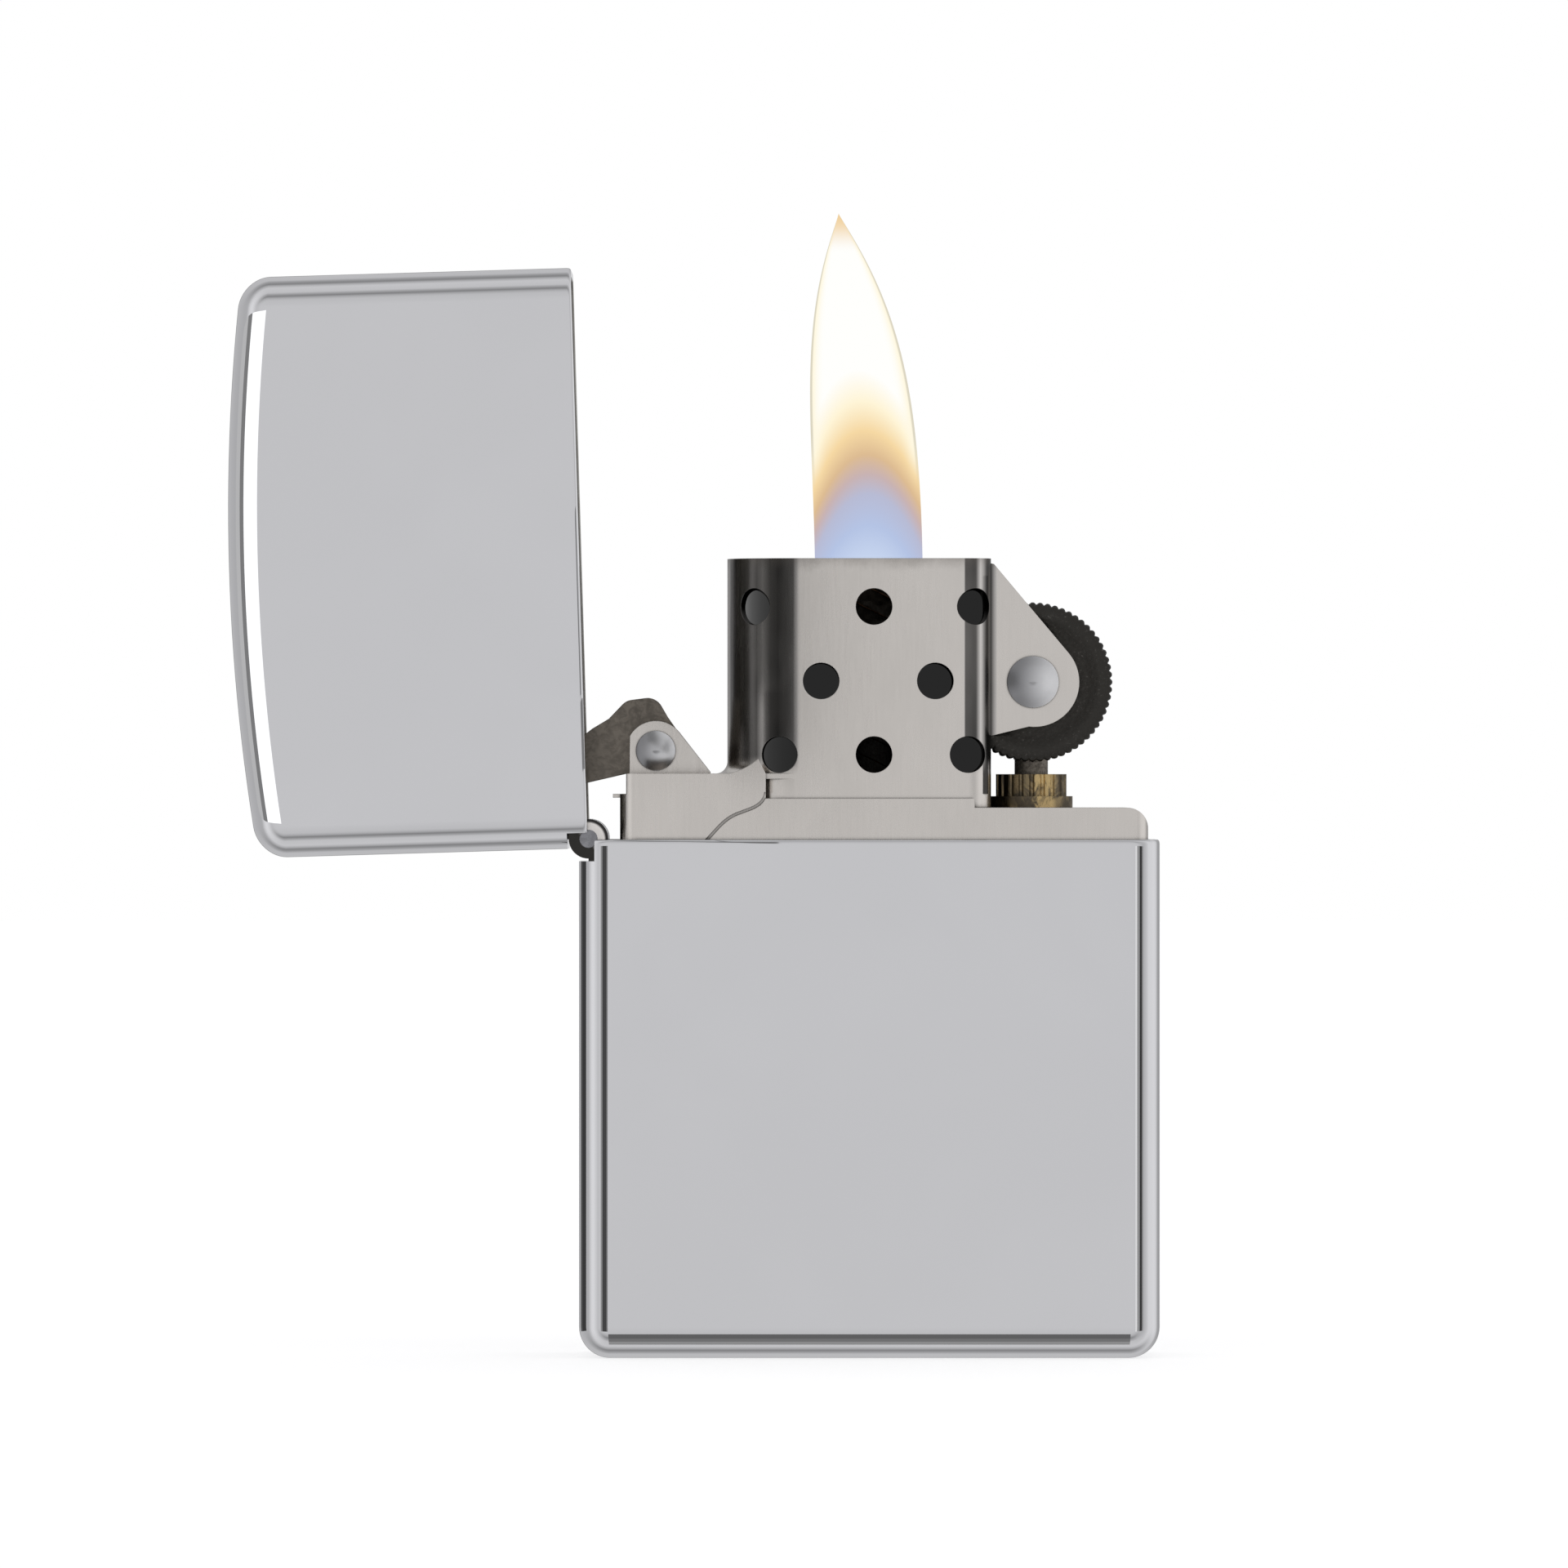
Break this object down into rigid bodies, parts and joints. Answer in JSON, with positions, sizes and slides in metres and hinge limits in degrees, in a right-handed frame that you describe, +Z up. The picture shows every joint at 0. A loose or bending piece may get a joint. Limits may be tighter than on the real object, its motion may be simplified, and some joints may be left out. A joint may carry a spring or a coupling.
{
  "type": "flip-top wick lighter",
  "caption": "Pocket flip-top wick lighter with a hinged lid, lift-out fuel insert, chimney, spark wheel, spring-fed flint and lid cam.",
  "frame": {"origin": "centre of the bottom case's base, on the surface it stands on", "axes": "+Z up, +X from the hinge towards the spark wheel, the front face looks along -Y"},
  "size_m": [0.0612, 0.0126, 0.0715],
  "materials": {
    "chrome": "mirror-polished chrome plate",
    "hinge_steel": "bright nickel-plated steel",
    "stainless": "satin stainless steel with a fine vertical grain",
    "rivet_steel": "smooth domed steel",
    "cam_steel": "dark mottled sintered steel",
    "wheel_steel": "black hardened steel",
    "spring_steel": "plain spring steel",
    "brass": "aged brass",
    "flint": "dull grey ferrocerium",
    "wick": "braided cotton with a fine copper wire, charred at the top",
    "packing": "fluffy white rayon",
    "felt": "off-white pressed wool felt"
  },
  "bodies": {
    "case": {"bottom_case": "chrome", "case_hinge_leaf": "hinge_steel", "hinge_pin": "hinge_steel"},
    "lid": {"lid": "chrome", "lid_hinge_leaf": "hinge_steel"},
    "insert": {"fuel_tank": "stainless", "chimney": "stainless", "cam_bracket": "stainless", "cam_rivet": "rivet_steel", "cam_spring": "spring_steel", "spring_rivet": "rivet_steel", "wheel_rivet": "rivet_steel", "flint_tube": "brass", "wick": "wick", "packing_1": "packing", "packing_2": "packing", "packing_3": "packing", "packing_4": "packing", "packing_5": "packing", "felt_pad": "felt"},
    "cam": {"cam": "cam_steel"},
    "wheel": {"flint_wheel": "wheel_steel"},
    "screw": {"flint_screw": "brass", "flint_spring": "spring_steel"},
    "flint_feed": {"flint": "flint", "spring_tip": "brass"}
  },
  "joints": [
    {"name": "lid_swing", "type": "hinge", "parent": "case", "child": "lid", "pos_m": [-0.01843, 0, 0.03405], "axis": [0, -1, 0], "range_deg": [-91.7, 15]},
    {"name": "insert_lift", "type": "slide", "parent": "case", "child": "insert", "axis": [0, 0, 1], "range_m": [0, 0.028]},
    {"name": "cam_swing", "type": "hinge", "parent": "insert", "child": "cam", "pos_m": [-0.01403, 0, 0.03984], "axis": [0, -1, 0], "range_deg": [-84.2, 14], "deforming": ["cam_spring"]},
    {"name": "wheel_spin", "type": "hinge", "parent": "insert", "child": "wheel", "pos_m": [0.01075, 0, 0.04435], "axis": [0, -1, 0], "continuous": true},
    {"name": "screw_turn", "type": "hinge", "parent": "insert", "child": "screw", "pos_m": [0.0107, 0, 0.0032], "axis": [0, 0, 1], "continuous": true},
    {"name": "flint_push", "type": "slide", "parent": "insert", "child": "flint_feed", "axis": [0, 0, 1], "range_m": [-0.0008, 0], "stiffness_N_per_m": 150, "springref_m": 0.006, "deforming": ["flint_spring"]}
  ],
  "couplings": [
    {"joint": "cam_swing", "follows": "lid_swing", "ratio": 0.91603}
  ]
}
